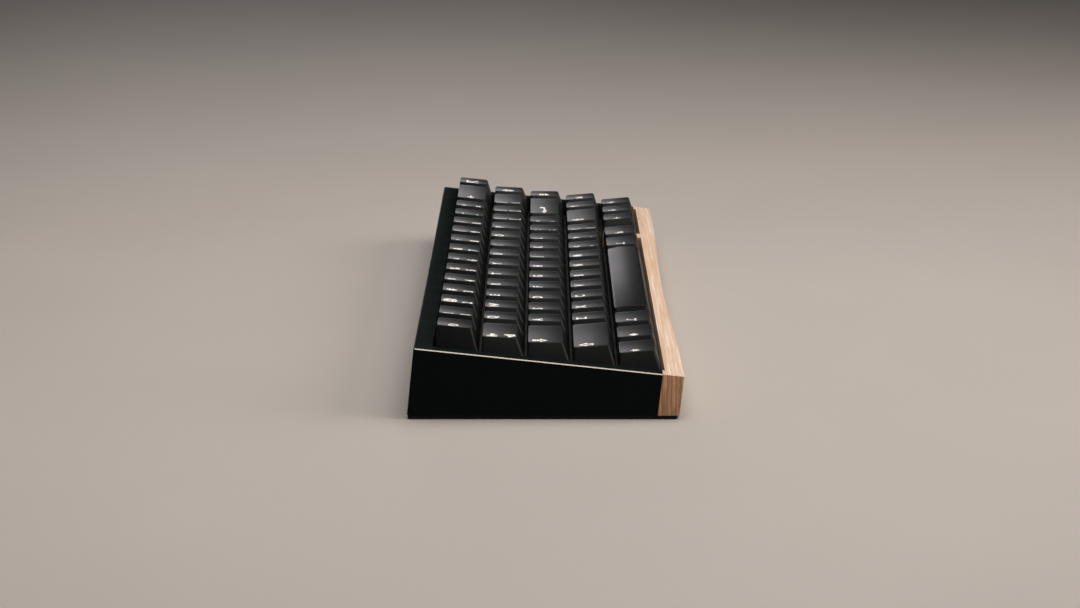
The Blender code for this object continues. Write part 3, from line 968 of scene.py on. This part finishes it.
def make_case():
    """The case's back and ends: cut edges in a lighter metal whose colour is partly a painted highlight, the key
    well with the plate's ledge, and the plug opening.
    """
    case = block("case_shell", (-CASE_HALF_LENGTH, WOOD_JOINT + SEAM, DEEP),
                 (CASE_HALF_LENGTH, CASE_BACK, CASE_TOP))
    paint(case, CASE_BLACK)
    case.data.materials.append(CUT_EDGE_AND_HIGHLIGHT)
    bevel_edges(case, back_corner, CASE_CORNER, 4)
    # The top chamfer gets the lighter cut-edge metal, which is partly a painted highlight.
    bevel_edges(case, bright_edge, CHAMFER, 1, material=1)
    inner = OPENING_HALF_LENGTH - LEDGE
    carve(case, block("key_well", (-OPENING_HALF_LENGTH, -BEYOND, LEDGE_TOP),
                      (OPENING_HALF_LENGTH, OPENING_BACK, BEYOND)))
    carve(case, block("board_hall", (-inner, -BEYOND, -BEYOND), (inner, OPENING_BACK - LEDGE, LEDGE_TOP + SEAM)))
    bevel_edges(case, well_mouth, WELL_ROUND, 2)
    length, height = PLUG_OPENING
    middle = BOARD_BOTTOM - SOCKET_SIZE[2] / 2
    plug = block("plug_opening", (SOCKET_X - length / 2, OPENING_BACK - 0.018, middle - height / 2),
                 (SOCKET_X + length / 2, BEYOND, middle + height / 2))
    bevel_edges(plug, lambda edge: run(edge, 1) > 0.01, PLUG_ROUND, 6)
    carve(case, plug)
    smooth(case, 30)
    lay(case)
    desk_cut(case)
    fit(case, "case", "case_metal", "case_body")


def scallop(x):
    """How far the front face is drawn in, a long shallow hollow."""
    reach = (x - SCALLOP_CENTRE) / SCALLOP_HALF_SPAN
    return SCALLOP * (1 + cos(pi * reach)) / 2 if abs(reach) < 1 else 0


def hollow_front(piece, front, skin=SEAM):
    """Cuts a bar into short lengths and draws its front face, and the skin behind it, in by the scallop."""
    cuts = [2 * step / SCALLOP_CUTS - 1 for step in range(1, SCALLOP_CUTS)]
    slice_up(piece, Vector((1, 0, 0)), [SCALLOP_CENTRE + SCALLOP_HALF_SPAN * cut for cut in cuts])
    for vert in piece.data.vertices:
        if vert.co.y < front + skin:
            vert.co.y += scallop(vert.co.x)


def outer_edge(edge):
    """Between two faces of the wood that neither look down nor meet the case."""
    return sum(face.normal.z > -0.9 and face.normal.y < 0.9 for face in edge.link_faces) == 2


def tongue_edge(edge):
    """Between two faces of the tongue that neither look down nor meet the bar."""
    return sum(face.normal.z > -0.9 and face.normal.y > -0.9 for face in edge.link_faces) == 2


def make_wood():
    """The wooden front: a scalloped bar with corner posts, a ledge for the plate and a tongue between the keys."""
    inner = OPENING_HALF_LENGTH - LEDGE - PLAY
    wood = block("wooden_front", (-CASE_HALF_LENGTH, WOOD_FRONT, DEEP), (CASE_HALF_LENGTH, WOOD_JOINT, CASE_TOP))
    bevel_edges(wood, outer_edge, WOOD_ROUND, 3)
    hollow_front(wood, WOOD_FRONT, 1.2 * WOOD_ROUND)
    carve(wood, block("well", (-OPENING_HALF_LENGTH, OPENING_FRONT, LEDGE_TOP),
                      (OPENING_HALF_LENGTH, BEYOND, BEYOND)))
    carve(wood, block("ledge", (-inner, OPENING_FRONT - LEDGE, DEEP), (inner, OPENING_FRONT + LEDGE, LEDGE_TOP)),
          "UNION")
    tongue = block("tongue", (TONGUE_CENTRE - TONGUE_WIDTH / 2, OPENING_FRONT - LEDGE, PLATE_TOP + PLAY),
                   (TONGUE_CENTRE + TONGUE_WIDTH / 2, TONGUE_BACK, CASE_TOP - 0.00002))
    bevel_edges(tongue, tongue_edge, WOOD_ROUND, 3)
    carve(wood, tongue, "UNION")
    lay(wood)
    desk_cut(wood)
    smooth(wood, 30)
    paint(wood, OILED_WOOD)
    fit(wood, "case", "pale_wood", "wood_front")


def deck_line(along, height):
    """Where a line square to the deck, that far up its slope, is at a height over the desk."""
    foot = DECK @ Vector((0, along, 0))
    return foot.y - (height - foot.z) * tan(TILT)


def make_base():
    """The bottom plate: a thin rim under the walls, a thicker middle, foot slots and countersunk screws."""
    front, back = deck_line(WOOD_FRONT + 0.0005, BASE_BOTTOM), deck_line(CASE_BACK - 0.0005, BASE_BOTTOM)
    half = CASE_HALF_LENGTH - BASE_INSET
    base = block("base_plate", (-half, front, BASE_BOTTOM), (half, back, BASE_RIM_TOP))
    hollow_front(base, front)
    inner = OPENING_HALF_LENGTH - LEDGE - PLAY
    carve(base, block("panel", (-inner, deck_line(OPENING_FRONT + LEDGE + PLAY, BASE_RIM_TOP), BASE_BOTTOM),
                      (inner, deck_line(OPENING_BACK - LEDGE - PLAY, BASE_TOP), BASE_TOP)), "UNION")
    length, depth, height = FOOT_SIZE
    for y in FOOT_PLACES:
        slot = pillar("foot_slot", (length + 2 * PLAY, depth + 2 * PLAY), -0.01, height + PLAY, (0, y))
        bevel_edges(slot, lambda edge: run(edge, 2) > 0.005, depth * FOOT_END, 6)
        carve(base, slot)
    for x, y in SCREW_PLACES:
        sink = rod("sink", SCREW_HEAD + PLAY, (x, y, BASE_BOTTOM - 0.0005), (x, y, BASE_TOP - 0.0004), 20, 0.5)
        carve(base, sink)
    soften(base, 0.0001, 1, 50)
    smooth(base, 30)
    paint(base, BASE_COAT)
    fit(base, "case", "base_metal", "bottom_plate")


def make_screws():
    """Countersunk screws with a six-sided socket."""
    screw = rod("screw", SCREW_HEAD, (0, 0, BASE_BOTTOM + 0.0001), (0, 0, BASE_TOP - 0.0006), 24, 0.55)
    carve(screw, rod("shank", SCREW_SHANK, (0, 0, BASE_TOP - 0.0008), (0, 0, BASE_TOP + 0.003), 16), "UNION")
    carve(screw, rod("hex", SCREW_HEX, (0, 0, -0.001), (0, 0, BASE_BOTTOM + 0.0011), 6))
    soften(screw, 0.00008, 1, 50)
    smooth(screw, 35)
    paint(screw, STEEL)
    for number, (x, y) in enumerate(SCREW_PLACES, 1):
        made = copy_of(screw, f"screw_{number}")
        made.data.transform(Matrix.Translation((x, y, 0)))
        fit(made, "case", "plate_metal", "bottom_plate")
    bpy.data.objects.remove(screw)


def make_feet():
    """The two rubber strips, round at their ends and softened where they stand on the desk."""
    length, depth, height = FOOT_SIZE
    for name, y in zip(("front", "rear"), FOOT_PLACES):
        foot = pillar(f"foot_{name}", (length, depth), 0, height, (0, y))
        bevel_edges(foot, lambda edge: run(edge, 2) > height / 2, depth * FOOT_END, 8)
        bevel_edges(foot, lambda edge: all(vert.co.z < SEAM for vert in edge.verts), FOOT_ROUND, 3)
        smooth(foot, 40)
        paint(foot, FOOT_RUBBER)
        fit(foot, "case", "foot_rubber", f"rubber_foot_{name}")


# ---- Stage -------------------------------------------------------------------------------------------------


def make_camera():
    camera = bpy.data.objects.new("camera", bpy.data.cameras.new("camera"))
    bpy.context.scene.collection.objects.link(camera)
    camera.location = CAMERA_PLACE
    camera.rotation_euler = (pi / 2 - CAMERA_DIP, 0, -pi / 2)
    camera.data.lens = CAMERA_LENS
    camera.data.sensor_width = 36
    camera.data.clip_start = 0.01
    bpy.context.scene.camera = camera


def softbox(name, place, aim, size, power, colour, spread=180):
    light = bpy.data.lights.new(name, "AREA")
    light.shape = "RECTANGLE"
    light.size, light.size_y = size
    light.energy = power
    light.color = colour
    light.spread = radians(spread)
    made = bpy.data.objects.new(name, light)
    bpy.context.scene.collection.objects.link(made)
    made.location = place
    made.rotation_mode = "QUATERNION"
    made.rotation_quaternion = (Vector(aim) - Vector(place)).to_track_quat("-Z", "Y")


def make_stage():
    """A plain pale floor under a broad softbox, a box on the typist's side and a weak card past the far end."""
    bpy.ops.mesh.primitive_plane_add(size=14, location=(1.5, 0, 0))
    floor = bpy.context.object
    floor.name = "floor"
    finish, tree, shader = plain_finish("pale_floor", specular=0.15)
    place = node(tree, "ShaderNodeTexCoord")
    mottle = node(tree, "ShaderNodeTexNoise", Scale=6.0, Detail=5.0)
    wire(tree, place.outputs["Object"], mottle.inputs["Vector"])
    wire(tree, blend_colours(tree, mottle.outputs["Fac"], (0.36, 0.33, 0.305), (0.4, 0.367, 0.34)),
         shader.inputs["Base Color"])
    shader.inputs["Roughness"].default_value = 0.75
    paint(floor, finish)
    softbox("softbox_overhead", (-0.15, -0.1, 1.0), (0, 0, 0), (1.0, 1.0), 13.5, (1.0, 0.96, 0.925))
    softbox("softbox_front", (-0.1, -1.1, 0.7), (0, 0, 0.02), (1.2, 0.7), 2.2, (1.0, 0.93, 0.87), 70)
    softbox("card_far", (1.9, 0.32, 0.42), (0, 0, 0.03), (0.7, 0.5), 0.18, (1.0, 0.96, 1.0), 40)
    world = bpy.data.worlds.new("studio")
    world.use_nodes = True
    world.node_tree.nodes["Background"].inputs["Color"].default_value = (0.03, 0.03, 0.031, 1)
    bpy.context.scene.world = world
    bpy.context.scene.view_settings.view_transform = "Standard"


make_camera()
make_stage()
paint(frame["nodes"]["switch_plate"], PLATE_COAT)
make_case()
make_wood()
make_base()
make_screws()
make_feet()
make_board()
make_usb_socket()
make_switches()
make_caps()
